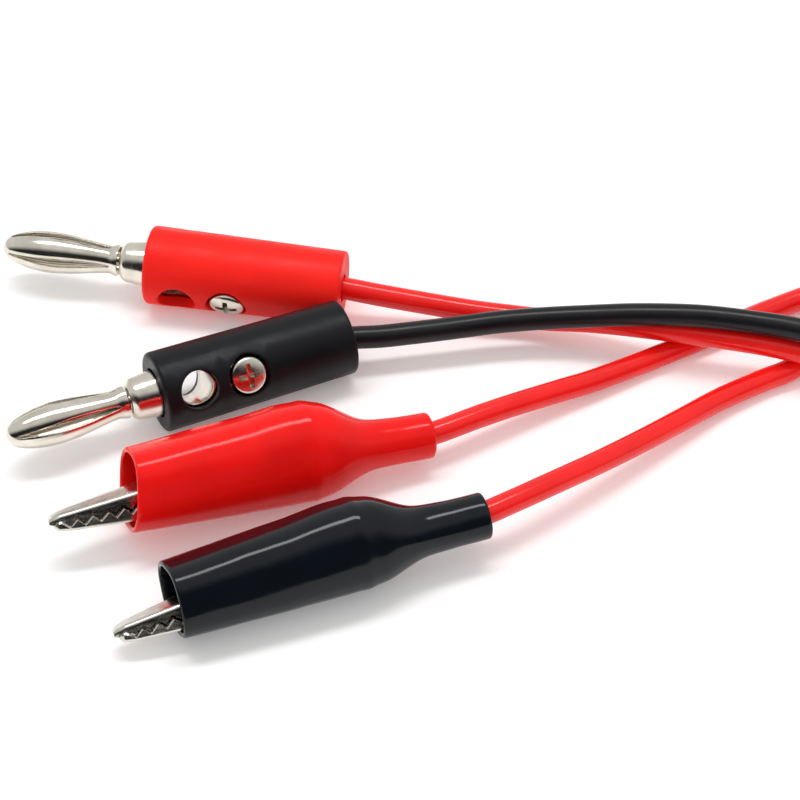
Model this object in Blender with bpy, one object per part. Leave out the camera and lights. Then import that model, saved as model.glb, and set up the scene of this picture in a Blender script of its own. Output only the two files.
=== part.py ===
"""A pair of bench test leads: two 4 mm banana plugs with side screws, two booted alligator clips
and the two thin round cords between them, each wound into a tied spare coil."""

import math

import bmesh
import bpy
import numpy as np
from mathutils import Vector

MM = 0.001
SHARP_DEGREES = 35.0

# The layout is written about the middle of the group of terminals; the frame's origin is here in it.
ORIGIN_X = -18.74
ORIGIN_Y = -8.13

# Cord and what holds it.
CORD_RADIUS = 1.35
CONDUCTOR_RADIUS = 0.75
CORD_STEP = 6.2
FIT_GAP = 0.3

# Plug, along its own X from the front face of the sleeve.
SLEEVE_LENGTH = 23.5
SLEEVE_FRONT_RADIUS = 4.72
SLEEVE_REAR_RADIUS = 4.42
SLEEVE_BEVEL = 0.4
CROSS_HOLE_X = 4.1
CROSS_HOLE_RADIUS = 2.25
SCREW_X = 10.1
SCREW_HOLE_RADIUS = 2.45
SCREW_HEAD_RADIUS = 2.15
COLLAR_FRONT_X = -3.4
CAGE_REAR_X = -3.7
CAGE_NOSE_X = -17.9
CAGE_WALL = 0.4
PLUG_TILT = -0.73

# Clip, along its own X from the tips of the jaws.
PIVOT = (18.5, 0.0, 1.3)
JAW_SHEET = 0.45
TOOTH_PITCH = 1.72
TOOTH_HEIGHT = 0.38
MATING_SLOPE = 0.08
BARREL_AXIS_Z = 2.35
CORD_ENTRY_X = 37.6

# Boot, from its mouth: x, height of the middle, half height, half width, squareness, wall.
BOOT_TABLE = (
    (0.0, 2.15, 4.3, 4.45, 2.7, 0.6),
    (7.0, 2.42, 4.65, 4.6, 2.7, 0.62),
    (14.0, 2.72, 5.0, 4.65, 2.6, 0.65),
    (20.0, 3.0, 5.3, 4.6, 2.5, 0.7),
    (23.5, 2.95, 4.95, 4.25, 2.4, 0.75),
    (28.5, 2.45, 2.98, 2.98, 2.0, 0.85),
    (32.0, 2.36, 2.68, 2.68, 2.0, 0.95),
    (36.4, 2.33, 2.65, 2.65, 2.0, 0.95),
)
# How each boot differs: length, height of its body, lean of its mouth upwards and sideways.
RED_BOOT_SHAPE = (0.965, 1.055, 0.12, 0.0)
BLACK_BOOT_SHAPE = (0.985, 0.945, 0.0, -0.047)

# Name, place of the sleeve's front face, azimuth, roll, angle of the first cage slot, colour.
PLUGS = (
    ("red_plug", (-29.90, 18.23, 4.726), -9.54, -21.0, 59.0, (0.75, 0.02, 0.01)),
    ("black_plug", (-27.91, -3.56, 4.726), 24.18, 30.0, 1.0, (0.02, 0.02, 0.02)),
)
# Name, place of the jaws' tips, azimuth, tilt, x of the boot's mouth, boot shape, colour.
CLIPS = (
    ("red_clip", (-38.33, -24.60, 5.55), 18.67, -5.0, 9.25, RED_BOOT_SHAPE, (0.75, 0.02, 0.01)),
    ("black_clip", (-30.52, -37.98, 2.60), 19.26, 0.5, 6.8, BLACK_BOOT_SHAPE, (0.02, 0.02, 0.02)),
)
CLIP_ROLL = 30.0

# Spare coils: two layers each, one coil on the other, tied together.
COIL_CENTRE = (93.0, 13.4)
COIL_INNER_RADIUS = 8.05
COIL_OUTER_RADIUS = 22.55
COIL_BASE_Z = 0.95
COIL_HEIGHT = 5.4
TIE_WIDTH = 6.0
TIE_THICKNESS = 0.65

NICKEL = (0.60, 0.58, 0.52)
COPPER = (0.70, 0.33, 0.16)
RED = (0.70, 0.02, 0.01)
BLACK = (0.02, 0.02, 0.02)


def clear():
    for thing in list(bpy.data.objects):
        bpy.data.objects.remove(thing, do_unlink=True)


def material(name, colour, metallic, roughness):
    made = bpy.data.materials.new(name)
    made.use_nodes = True
    shader = made.node_tree.nodes["Principled BSDF"]
    shader.inputs["Base Color"].default_value = (*colour, 1.0)
    shader.inputs["Metallic"].default_value = metallic
    shader.inputs["Roughness"].default_value = roughness
    return made


def layout(point):
    """A point of the layout in millimetres, as a position in the frame in metres."""
    return Vector((point[0] - ORIGIN_X, point[1] - ORIGIN_Y, point[2])) * MM


def terminal(name, place, azimuth, tilt, roll):
    """The empty that carries one plug or clip: X to the cord, turned, tilted and rolled."""
    holder = bpy.data.objects.new(name, None)
    holder.location = layout(place)
    holder.rotation_euler = [math.radians(angle) for angle in (-roll, -tilt, azimuth)]
    bpy.context.scene.collection.objects.link(holder)
    bpy.context.view_layer.update()
    return holder


def finish(name, mesh, parent, look, origin=(0.0, 0.0, 0.0)):
    """Turn a bmesh in millimetres into an object whose origin is at a point of its parent."""
    bmesh.ops.recalc_face_normals(mesh, faces=mesh.faces)
    shift = Vector(origin)
    for vert in mesh.verts:
        vert.co = (vert.co - shift) * MM
    data = bpy.data.meshes.new(name)
    mesh.to_mesh(data)
    mesh.free()
    data.shade_smooth()
    data.set_sharp_from_angle(angle=math.radians(SHARP_DEGREES))
    made = bpy.data.objects.new(name, data)
    made.location = shift * MM
    made.parent = parent
    bpy.context.scene.collection.objects.link(made)
    if look is not None:
        data.materials.append(material(name, *look))
    return made


def skin(rings, ends="closed"):
    """Faces between successive rings of points. Ends: capped, or joined into one loop of rings."""
    mesh = bmesh.new()
    rows = [[mesh.verts.new(point) for point in ring] for ring in rings]
    pairs = list(zip(rows, rows[1:]))
    if ends == "looped":
        pairs.append((rows[-1], rows[0]))
    for first, second in pairs:
        count = max(len(first), len(second))
        for i in range(count):
            j = (i + 1) % count
            corners = (first[i % len(first)], first[j % len(first)])
            corners += (second[j % len(second)], second[i % len(second)])
            mesh.faces.new(list(dict.fromkeys(corners)))
    if ends == "closed":
        for row in (rows[0], rows[-1]):
            if len(row) > 2:
                mesh.faces.new(row)
    return mesh


def turned(outline, segments, axis="X", centre=(0.0, 0.0, 0.0), start=0.0):
    """Turn (along, radius) points about an axis. A ring outline that misses the axis is joined up."""
    rings = []
    for along, radius in outline:
        ring = []
        for i in range(1 if radius == 0 else segments):
            angle = start + 2 * math.pi * i / segments
            a, b = radius * math.cos(angle), radius * math.sin(angle)
            local = {"X": (along, a, b), "Y": (b, along, a), "Z": (a, b, along)}[axis]
            ring.append(Vector(local) + Vector(centre))
        rings.append(ring)
    return skin(rings, "closed" if outline[0][1] == 0 else "looped")


def beam(stations, chamfer_low=0.0, chamfer_high=0.0):
    """A long box with (x, half width, low z, high z) stations and chamfered long edges."""
    rings = []
    for x, half, low, high in stations:
        cut_low = min(chamfer_low, 0.4 * (high - low))
        cut_high = min(chamfer_high, 0.4 * (high - low))
        side = [(half - cut_low, low)] if chamfer_low else []
        side += [(half, low + cut_low), (half, high - cut_high)]
        side += [(half - cut_high, high)] if chamfer_high else []
        rings.append([(x, y, z) for y, z in side] + [(x, -y, z) for y, z in side[::-1]])
    return skin(rings)


def box(low, high):
    """A plain box between two corners."""
    mesh = bmesh.new()
    bmesh.ops.create_cube(mesh, size=1.0)
    for vert in mesh.verts:
        for k in range(3):
            vert.co[k] = low[k] if vert.co[k] < 0 else high[k]
    return mesh


def combine(target, mesh, operation="DIFFERENCE"):
    """Cut a body away from an object, or weld it on, with a hidden helper that stays editable."""
    count = len(target.modifiers) + 1
    helper = finish(f"helper_{target.name}_{count}", mesh, target.parent, None)
    helper.hide_render = True
    helper.display_type = "WIRE"
    modifier = target.modifiers.new(f"{operation.lower()}_{count}", "BOOLEAN")
    modifier.operation = operation
    modifier.solver = "EXACT"
    modifier.object = helper


def sampled(points, step):
    """Evenly spaced points on a smooth curve through the given ones, both ends kept."""
    knots = np.array([points[0], *points, points[-1]], dtype=float)
    knots[0] = 2 * knots[1] - knots[2]
    knots[-1] = 2 * knots[-2] - knots[-3]
    fine = []
    for a, b, c, d in zip(knots, knots[1:], knots[2:], knots[3:]):
        for t in np.linspace(0.0, 1.0, 24, endpoint=False):
            bend = (2 * a - 5 * b + 4 * c - d) * t**2 + (3 * b - a - 3 * c + d) * t**3
            fine.append(b + 0.5 * ((c - a) * t + bend))
    fine = np.array([*fine, knots[-2]])
    run = np.concatenate([[0.0], np.cumsum(np.linalg.norm(np.diff(fine, axis=0), axis=1))])
    places = np.linspace(0.0, run[-1], max(2, round(run[-1] / step)) + 1)
    return np.stack([np.interp(places, run, fine[:, k]) for k in range(3)], axis=1)


def tube(name, points, radius, resolution, parent, look):
    """A round wire along points in millimetres, with flat ends."""
    data = bpy.data.curves.new(name, "CURVE")
    data.dimensions = "3D"
    data.bevel_depth = radius * MM
    data.bevel_resolution = resolution
    data.use_fill_caps = True
    spline = data.splines.new("POLY")
    spline.points.add(len(points) - 1)
    for knot, point in zip(spline.points, points):
        knot.co = (*(Vector(point) * MM), 1.0)
    data.materials.append(material(name, *look))
    made = bpy.data.objects.new(name, data)
    made.parent = parent
    bpy.context.scene.collection.objects.link(made)
    return made


def read_row(table, x):
    """A smooth row of values from a table whose rows start with x."""
    rows = np.array(table, dtype=float)
    slopes = np.gradient(rows[:, 1:], rows[:, 0], axis=0)
    i = int(np.clip(np.searchsorted(rows[:, 0], x, side="right") - 1, 0, len(rows) - 2))
    width = rows[i + 1, 0] - rows[i, 0]
    t = (x - rows[i, 0]) / width
    h00, h10 = 2 * t**3 - 3 * t**2 + 1, t**3 - 2 * t**2 + t
    h01, h11 = 3 * t**2 - 2 * t**3, t**3 - t**2
    ends = h00 * rows[i, 1:] + h01 * rows[i + 1, 1:]
    return ends + width * (h10 * slopes[i] + h11 * slopes[i + 1])


def plug(name, place, azimuth, roll, first_slot, colour):
    """A 4 mm plug: plastic sleeve, brass barrel, core pin, sprung cage, clamp screw, wire end."""
    holder = terminal(name, place, azimuth, PLUG_TILT, roll)
    taper = (SLEEVE_REAR_RADIUS - SLEEVE_FRONT_RADIUS) / SLEEVE_LENGTH
    front, rear = SLEEVE_FRONT_RADIUS, SLEEVE_REAR_RADIUS
    sleeve = finish(
        f"{name}_sleeve",
        turned(
            (
                (0.0, 2.95),
                (0.0, front - SLEEVE_BEVEL),
                (SLEEVE_BEVEL, front + taper * SLEEVE_BEVEL),
                (SLEEVE_LENGTH - SLEEVE_BEVEL, rear - taper * SLEEVE_BEVEL),
                (SLEEVE_LENGTH, rear - SLEEVE_BEVEL),
                (SLEEVE_LENGTH, 1.7),
                (16.5, 1.7),
                (16.5, 3.55),
                (1.2, 3.55),
                (1.2, 2.95),
            ),
            24,
        ),
        holder,
        (colour, 0.0, 0.35),
    )
    cross = ((-6.0, 0), (-6.0, CROSS_HOLE_RADIUS), (6.0, CROSS_HOLE_RADIUS), (6.0, 0))
    combine(sleeve, turned(cross, 20, "Y", (CROSS_HOLE_X, 0, 0), 0.1))
    access = ((-6.0, 0), (-6.0, SCREW_HOLE_RADIUS), (-2.0, SCREW_HOLE_RADIUS), (-2.0, 0))
    combine(sleeve, turned(access, 20, "Y", (SCREW_X, 0, 0), 0.1))

    barrel = finish(
        f"{name}_barrel",
        turned(
            (
                (0.8, 0),
                (0.8, 1.1),
                (COLLAR_FRONT_X, 1.1),
                (COLLAR_FRONT_X, 1.9),
                (COLLAR_FRONT_X + 0.5, 2.45),
                (-0.1, 2.75),
                (-0.1, 2.65),
                (1.5, 2.65),
                (1.5, 3.25),
                (16.2, 3.25),
                (16.2, 1.3),
                (7.6, 1.3),
                (7.6, 0),
            ),
            20,
        ),
        holder,
        (NICKEL, 1.0, 0.25),
    )
    through = ((-6.0, 0), (-6.0, 2.0), (6.0, 2.0), (6.0, 0))
    combine(barrel, turned(through, 20, "Y", (CROSS_HOLE_X, 0, 0), 0.1))
    tapped = ((-6.0, 0), (-6.0, 1.6), (-0.4, 1.6), (-0.4, 0))
    combine(barrel, turned(tapped, 16, "Y", (SCREW_X, 0, 0), 0.1))

    pin = ((0.5, 0), (0.5, 0.8), (-15.1, 0.8), (-15.5, 0.45), (-15.5, 0))
    finish(f"{name}_core_pin", turned(pin, 12), holder, (NICKEL, 1.0, 0.3))

    outside = (
        (CAGE_NOSE_X, 0),
        (CAGE_NOSE_X + 0.05, 0.6),
        (-17.5, 1.2),
        (-16.9, 1.6),
        (-15.6, 2.03),
        (-14.0, 2.37),
        (-12.3, 2.5),
        (-10.0, 2.38),
        (-8.0, 2.14),
        (-6.2, 1.84),
        (-4.8, 1.7),
        (CAGE_REAR_X, 1.95),
    )
    inside = [(x, max(r - CAGE_WALL, 0)) for x, r in outside[:2:-1]]
    inside += [(CAGE_NOSE_X + 0.55, 0.5), (CAGE_NOSE_X + 0.45, 0)]
    cage = finish(
        f"{name}_spring_cage",
        turned((*outside, *inside), 20, start=math.pi / 20),
        holder,
        (NICKEL, 1.0, 0.22),
    )
    for angle in (first_slot, first_slot + 90.0):
        lens = ((-17.0, 0.16), (-15.6, 0.42), (-12.3, 0.6), (-8.0, 0.42), (-4.5, 0.16))
        slot = skin([[(x, y, z) for y, z in ((-w, -3), (w, -3), (w, 3), (-w, 3))] for x, w in lens])
        rotate_about_x(slot, angle)
        combine(cage, slot)

    head = SCREW_HEAD_RADIUS
    profile = ((-4.55, 0), (-4.55, head - 0.25), (-4.3, head), (-3.55, head), (-3.55, 1.3))
    profile += ((-1.3, 1.3), (-1.05, 1.05), (-1.05, 0))
    screw_axis = (SCREW_X, 0.0, 0.0)
    screw = finish(
        f"{name}_clamp_screw", turned(profile, 20, "Y", screw_axis), holder, (NICKEL, 1.0, 0.3), screw_axis
    )
    for half_x, half_z in ((1.3, 0.375), (0.375, 1.3)):
        combine(screw, box((SCREW_X - half_x, -5.0, -half_z), (SCREW_X + half_x, -3.85, half_z)))

    wire = ((8.0, 0), (8.0, CONDUCTOR_RADIUS), (16.3, CONDUCTOR_RADIUS), (16.3, 0))
    finish(f"{name}_conductor", turned(wire, 12), holder, (COPPER, 1.0, 0.35))
    return holder


def rotate_about_x(mesh, degrees):
    """Turn a bmesh about the X axis."""
    angle = math.radians(degrees)
    for vert in mesh.verts:
        y, z = vert.co.y, vert.co.z
        vert.co.y = y * math.cos(angle) - z * math.sin(angle)
        vert.co.z = y * math.sin(angle) + z * math.cos(angle)


def toothed(offset, first_up):
    """The zigzag of one jaw's edge, as (x, z) points along the mating line."""
    edge = []
    for i in range(13):
        x = 0.4 + i * TOOTH_PITCH / 2
        swing = TOOTH_HEIGHT if (i % 2 == 0) == first_up else -TOOTH_HEIGHT
        edge.append((x, MATING_SLOPE * x + offset + swing))
    return edge


def channel_stations(edge, other, halves):
    """Stations (x, half width, low, high) of a channel from its two side outlines in (x, z)."""
    xs = sorted({x for x, _ in edge} | {x for x, _ in other} | {x for x, _ in halves})
    columns = [np.interp(xs, *zip(*line)) for line in (halves, edge, other)]
    return list(zip(xs, *columns))


def lower_jaw(name, holder):
    """The fixed jaw: a pressed channel with teeth, ears for the rivet and a crimp barrel."""
    low = ((0.6, -0.95), (10.0, -0.95), (24.0, -0.8), (32.5, 0.6), (33.4, 0.78))
    top = [p for p in toothed(-0.15, False) if p[0] > 0.6] + [(0.6, -0.45)]
    top += [(12.8, 0.9), (15.5, 2.6), (17.0, 3.1), (20.0, 3.1), (22.5, 1.2), (29.0, 1.7), (33.4, 2.6)]
    halves = ((0.6, 1.2), (10.0, 2.2), (13.0, 2.55), (24.0, 2.55), (31.0, 1.75), (33.4, 1.75))
    top.sort()
    stations = channel_stations(low, top, halves)
    jaw = finish(f"{name}_lower_jaw", beam(stations, 0.5), holder, (NICKEL, 1.0, 0.25))
    hollow = [(x, half - 0.4, bottom + JAW_SHEET, 5.0) for x, half, bottom, _ in stations]
    hollow[0] = (1.05, *hollow[0][1:])
    hollow[-1] = (34.0, *hollow[-1][1:])
    hollow = [row for i, row in enumerate(hollow) if i == 0 or row[0] > 1.3]
    combine(jaw, beam(hollow, 0.25))
    combine(jaw, turned(((-4, 0), (-4, 1.0), (4, 1.0), (4, 0)), 16, "Y", PIVOT, 0.1))
    crimp = turned(((32.5, 1.15), (32.5, 1.65), (37.0, 1.65), (37.0, 1.15)), 20, "X", (0, 0, BARREL_AXIS_Z))
    combine(jaw, crimp, "UNION")
    return jaw


def upper_jaw(name, holder):
    """The moving jaw: an inverted channel with teeth, that runs back into the thumb lever."""
    roof = ((0.0, 0.7), (1.4, 1.05), (10.0, 2.4), (18.5, 3.9), (21.0, 4.0), (29.0, 6.5))
    edge = [(0.0, 0.3)] + toothed(0.15, False) + [(12.5, 1.0), (16.9, 1.0), (17.4, 0.1)]
    edge += [(18.5, -0.3), (19.6, 0.1), (20.1, 1.0), (21.0, 2.6), (29.0, 5.3)]
    halves = ((0.0, 1.2), (10.0, 2.2), (11.2, 2.3), (12.0, 1.85), (29.0, 1.85))
    stations = channel_stations(edge, roof, halves)
    jaw = finish(f"{name}_upper_jaw", beam(stations, 0.0, 0.5), holder, (NICKEL, 1.0, 0.25), PIVOT)
    hollow = [(x, half - 0.4, -3.0, high - JAW_SHEET) for x, half, _, high in stations]
    hollow[0] = (0.45, *hollow[0][1:])
    hollow[-1] = (30.0, *hollow[-1][1:3], hollow[-1][3] + 0.3)
    hollow = [row for i, row in enumerate(hollow) if i == 0 or row[0] > 0.7]
    combine(jaw, beam(hollow, 0.0, 0.25))
    combine(jaw, turned(((-4, 0), (-4, 1.0), (4, 1.0), (4, 0)), 16, "Y", PIVOT, 0.1))
    return jaw


def torsion_spring(name, holder):
    """Three and a half turns about the rivet, with one leg under the lever and one on the floor."""
    coil = []
    steps = 42
    for i in range(steps + 1):
        angle = math.pi / 2 + 7 * math.pi * i / steps
        y = -1.05 + 2.1 * i / steps
        coil.append((PIVOT[0] + 1.3 * math.cos(angle), y, PIVOT[2] + 1.3 * math.sin(angle)))
    points = [(24.5, -1.05, 4.1), (21.5, -1.05, 3.35)] + coil + [(21.5, 1.05, 0.0), (24.5, 1.05, 0.0)]
    tube(f"{name}_torsion_spring", points, 0.25, 0, holder, (NICKEL, 1.0, 0.3))


def boot(name, holder, mouth, shape, colour):
    """The soft insulating sleeve over the clip: a flattened body, a hump and a round tail."""
    stretch, swell, lean, skew = shape
    end = BOOT_TABLE[-1][0]
    inner_end = 30.6
    count = 24

    def section(x, inset):
        centre, rise, half, power, _ = read_row(BOOT_TABLE, x)
        rise *= 1 + (swell - 1) * min(1.0, max(0.0, (30.0 - x) / 8.0))
        at_mouth = max(0.0, 1 - x / 10.0)
        ring = []
        for i in range(count):
            angle = 2 * math.pi * i / count
            c, s = math.cos(angle), math.sin(angle)
            y = (half - inset) * math.copysign(abs(c) ** (2 / power), c)
            z = (rise - inset) * math.copysign(abs(s) ** (2 / power), s)
            ring.append((mouth + stretch * x + at_mouth * (lean * z + skew * y), y, centre + z))
        return ring

    outer_xs = (0.0, 3.5, 7.0, 10.5, 14.0, 17.5, 21.0, 23.0, 25.0, 27.0, 29.0, 32.0, 36.0)
    rings = [section(x, 0.0 if 0 < x else 0.12) for x in outer_xs]
    rings.append(section(end, 0.3))
    for x in (end, inner_end + 0.8):
        rings.append(section(x, read_row(BOOT_TABLE, x)[1] - 1.7))
    for x in (inner_end, 29.0, 27.0, 25.0, 23.0, 21.0, 17.5, 14.0, 7.0, 0.0):
        rings.append(section(x, read_row(BOOT_TABLE, x)[4]))
    finish(f"{name}_boot", skin(rings, "looped"), holder, (colour, 0.0, 0.15))


def clip(name, place, azimuth, tilt, mouth, shape, colour):
    """An alligator clip: boot, two jaws, rivet, torsion spring and the crimped wire end."""
    holder = terminal(name, place, azimuth, tilt, CLIP_ROLL)
    boot(name, holder, mouth, shape, colour)
    lower_jaw(name, holder)
    upper_jaw(name, holder)
    shank = ((-3.0, 0), (-3.0, 0.9), (-2.9, 1.2), (-2.8, 1.2), (-2.8, 0.7))
    rivet = [*shank, *((-y, r) for y, r in shank[::-1])]
    finish(f"{name}_rivet", turned(rivet, 16, "Y", PIVOT), holder, (NICKEL, 1.0, 0.3), PIVOT)
    torsion_spring(name, holder)
    wire = ((32.0, 0), (32.0, CONDUCTOR_RADIUS), (37.3, CONDUCTOR_RADIUS), (37.3, 0))
    wire_mesh = turned(wire, 12, "X", (0, 0, BARREL_AXIS_Z))
    finish(f"{name}_conductor", wire_mesh, holder, (COPPER, 1.0, 0.35))
    return holder


def along(holder, x, z=0.0):
    """A point on a terminal's own axis, back in layout millimetres."""
    point = holder.matrix_world @ (Vector((x, 0.0, z)) * MM) / MM
    return (point.x + ORIGIN_X, point.y + ORIGIN_Y, point.z)


def cord(name, route, colour):
    """A length of round cord through layout points."""
    points = [layout(point) / MM for point in sampled(route, CORD_STEP)]
    tube(name, points, CORD_RADIUS, 2, None, (colour, 0.0, 0.3))


def coils():
    """Both spare coils as solid rings, and the strap that ties them together."""
    centre = layout((*COIL_CENTRE, 0.0)) / MM
    inner, outer = COIL_INNER_RADIUS, COIL_OUTER_RADIUS
    low = COIL_BASE_Z
    for name, colour in (("red_coil", RED), ("black_coil", BLACK)):
        high = low + COIL_HEIGHT
        outline = ((low, inner + 0.8), (low, outer - 0.8), (low + 0.8, outer), (high - 0.8, outer))
        outline += ((high, outer - 0.8), (high, inner + 0.8), (high - 0.8, inner), (low + 0.8, inner))
        finish(name, turned(outline, 40, "Z", centre), None, (colour, 0.0, 0.3))
        low = high + FIT_GAP
    top = low
    reach = FIT_GAP + TIE_THICKNESS
    half = TIE_WIDTH / 2
    inner = math.sqrt(inner**2 - half**2)
    tie = finish(
        "coil_tie",
        box(
            (centre.x + inner - reach, centre.y - half, 0.0),
            (centre.x + outer + reach, centre.y + half, top + TIE_THICKNESS),
        ),
        None,
        (BLACK, 0.0, 0.8),
    )
    room = box(
        (centre.x + inner - FIT_GAP, centre.y - half - 1, TIE_THICKNESS),
        (centre.x + outer + FIT_GAP, centre.y + half + 1, top),
    )
    combine(tie, room)


def cords(ends):
    """The free lengths of cord, from each terminal to the side of its coil."""
    red_plug, black_plug, red_clip, black_clip = ends
    cord(
        "red_plug_cord",
        [along(red_plug, x) for x in (16.6, 20.0, 23.6)]
        + [(-2.4, 13.65, 3.95), (2.4, 13.1, 3.3), (8.3, 12.4, 2.6), (13.0, 11.9, 2.25)]
        + [(17.2, 11.25, 2.25), (22.5, 10.35, 2.75), (28.4, 8.55, 3.6), (35.0, 6.3, 4.5)]
        + [(41.8, 4.95, 4.35)]
        + [(46.5, 3.7, 4.2), (53.0, 2.1, 3.6), (62.0, -0.3, 2.5), (69.0, -2.15, 2.3)]
        + [(76.0, -4.0, 2.3)],
        RED,
    )
    cord(
        "black_plug_cord",
        [along(black_plug, x) for x in (16.6, 20.0)]
        + [(-6.4, 5.77, 4.38), (-2.3, 6.3, 4.2), (1.2, 6.9, 4.15), (4.7, 7.45, 4.2)]
        + [(8.2, 8.05, 4.25), (11.7, 8.6, 4.35), (16.4, 8.95, 4.55), (22.3, 8.7, 5.2)]
        + [(28.1, 7.75, 6.35), (35.0, 6.4, 7.35)]
        + [(41.75, 5.35, 7.25), (46.2, 4.33, 7.2), (53.0, 2.1, 7.2), (62.0, -0.3, 7.9)]
        + [(69.0, -2.15, 8.0), (76.0, -4.0, 8.0)],
        BLACK,
    )
    cord(
        "red_clip_cord",
        [along(red_clip, x, BARREL_AXIS_Z) for x in (CORD_ENTRY_X, 41.5, 43.8)]
        + [(5.07, -8.4, 3.7), (8.6, -6.35, 3.5), (11.5, -4.66, 3.2), (15.0, -2.67, 2.75)]
        + [(18.55, -0.74, 2.3), (22.1, 1.13, 1.9), (26.0, 3.4, 1.6), (30.5, 6.0, 1.41)]
        + [(36.6, 9.4, 1.41), (42.6, 12.9, 1.41), (47.3, 15.4, 1.41)]
        + [(55.0, 19.0, 1.8), (64.0, 23.2, 3.9), (69.0, 25.5, 4.8), (73.3, 27.6, 5.0)],
        RED,
    )
    cord(
        "black_clip_cord",
        [along(black_clip, x, BARREL_AXIS_Z) for x in (CORD_ENTRY_X, 40.5)]
        + [(9.6, -22.5, 5.1), (14.0, -19.7, 4.9), (18.0, -16.85, 4.45), (22.6, -13.4, 3.75)]
        + [(27.4, -9.53, 3.0), (32.0, -5.65, 2.3), (37.0, -1.54, 1.7), (41.9, 1.6, 1.45)]
        + [(46.1, 4.0, 1.45)]
        + [(49.6, 8.0, 2.0), (52.0, 11.5, 3.6), (53.28, 13.87, 4.46)],
        RED,
    )
    cord(
        "black_coil_tail",
        [(73.3, 27.6, 10.7), (70.0, 25.9, 10.3), (66.6, 23.75, 9.03)],
        BLACK,
    )
    sleeve_ends = [Vector((66.1, 23.38, 8.86)), Vector((53.8, 14.26, 4.64))]
    middle = (sleeve_ends[0] + sleeve_ends[1]) / 2
    points = [layout(point) / MM for point in (sleeve_ends[0], middle, sleeve_ends[1])]
    tube("splice_sleeve", points, 2.1, 2, None, (BLACK, 0.0, 0.5))


def main():
    clear()
    ends = [plug(*row) for row in PLUGS] + [clip(*row) for row in CLIPS]
    bpy.context.view_layer.update()
    coils()
    cords(ends)


main()
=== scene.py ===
"""The looks of a pair of bench test leads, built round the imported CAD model.

Plugs and clips are modelled in millimetres in their own frames (X towards the cord) and placed by
the same four placements as the CAD. Cords are swept through the same routes.
"""

import math

import bmesh
import bpy
import numpy as np
from mathutils import Matrix, Vector


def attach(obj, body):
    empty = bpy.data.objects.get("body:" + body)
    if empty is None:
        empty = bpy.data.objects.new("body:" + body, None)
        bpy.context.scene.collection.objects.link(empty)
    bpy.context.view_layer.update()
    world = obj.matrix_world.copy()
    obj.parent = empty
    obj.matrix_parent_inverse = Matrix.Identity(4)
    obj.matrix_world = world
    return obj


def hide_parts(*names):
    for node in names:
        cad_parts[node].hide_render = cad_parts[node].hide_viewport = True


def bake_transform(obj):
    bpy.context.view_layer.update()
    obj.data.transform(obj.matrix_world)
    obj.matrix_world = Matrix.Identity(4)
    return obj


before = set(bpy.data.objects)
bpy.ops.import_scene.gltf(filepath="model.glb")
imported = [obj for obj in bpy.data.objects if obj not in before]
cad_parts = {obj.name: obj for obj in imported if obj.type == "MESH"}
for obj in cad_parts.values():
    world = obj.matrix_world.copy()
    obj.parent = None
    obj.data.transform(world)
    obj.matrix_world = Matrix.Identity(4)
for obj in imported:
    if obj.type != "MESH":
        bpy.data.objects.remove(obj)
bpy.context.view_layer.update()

MM = 0.001

# ---- camera, light and floor, in metres ----
CAMERA_DISTANCE = 0.340
CAMERA_TILT = 45.0
LENS = 131.6
KEY_PLACE = Vector((-0.02, 0.12, 0.54))
KEY_SIZE = (0.50, 0.10)
KEY_POWER = 1.5
SKY_TINT = (1.0, 0.99, 0.98, 1.0)
# The surround as reflections see it: dim in front, bright towards the back and above.
SKY_BRIGHT_WAY = (0.0, 0.87, 0.50)
SKY_FADE = (-0.35, 0.15)
SKY_LEVELS = (0.02, 0.70)
# The even surround that lights the matt surfaces.
SKY_EVEN = 0.78
FLOOR_WHITE = 0.90
FLOOR_GLOW = 0.16

# ---- the layout, as in the CAD ----
ORIGIN = Vector((-18.74, -8.13, 0.0))
PLUG_TILT = -0.73
CLIP_ROLL = 30.0
# Name, place of the sleeve's front face, azimuth, roll, angle of the first cage slot, colour.
PLUGS = (
    ("red_plug", (-29.90, 18.23, 4.726), -9.54, -21.0, 59.0, "red"),
    ("black_plug", (-27.91, -3.56, 4.726), 24.18, 30.0, 1.0, "black"),
)
# A boot's length, the height of its body, and the lean of its mouth upwards and sideways.
RED_BOOT_SHAPE = (0.965, 1.055, 0.12, 0.0)
BLACK_BOOT_SHAPE = (0.985, 0.945, 0.0, -0.047)
# Name, place of the jaws' tips, azimuth, tilt, x of the boot's mouth, boot shape, colour.
CLIPS = (
    ("red_clip", (-38.33, -24.60, 5.55), 18.67, -5.0, 9.25, RED_BOOT_SHAPE, "red"),
    ("black_clip", (-30.52, -37.98, 2.60), 19.26, 0.5, 6.8, BLACK_BOOT_SHAPE, "black"),
)

# ---- cord ----
CORD_RADIUS = 1.35
CORD_STEP = 1.1
CORD_SIDES = 32
# The radius of the hole that a cord goes through, in a sleeve or a boot.
CORD_HOLE = 1.7
COIL_CENTRE = (93.0, 13.4)
COIL_RADII = (21.2, 9.4)
COIL_START = -105.0
COIL_TURNS = 8 + 220.0 / 360.0
RED_LAYERS = (2.3, 5.0)
BLACK_LAYERS = (8.0, 10.7)
COIL_INNER = 8.05
COIL_OUTER = 22.55
COIL_TOP = 12.35
FIT_GAP = 0.3
TIE_WIDTH = 6.0
TIE_LIFT = 0.65
TIE_SHEET = 0.62
# The splice over the black lead's joint, from its end on the coil's side.
SPLICE_ENDS = ((66.1, 23.38, 8.86), (53.8, 14.26, 4.64))
SPLICE_RADIUS = 1.44
SPLICE_SWELL = 0.38
SPLICE_JOINT = 0.26

# ---- plug, from the sleeve's front face ----
SLEEVE_LENGTH = 23.5
SLEEVE_FRONT = 4.72
SLEEVE_REAR = 4.42
SLEEVE_BORE = 3.55
SLEEVE_COLLAR_BORE = 2.95
BARREL_RADIUS = 3.25
CROSS_X = 4.1
SCREW_X = 10.1
SCREW_SHARP = 32.0
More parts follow.
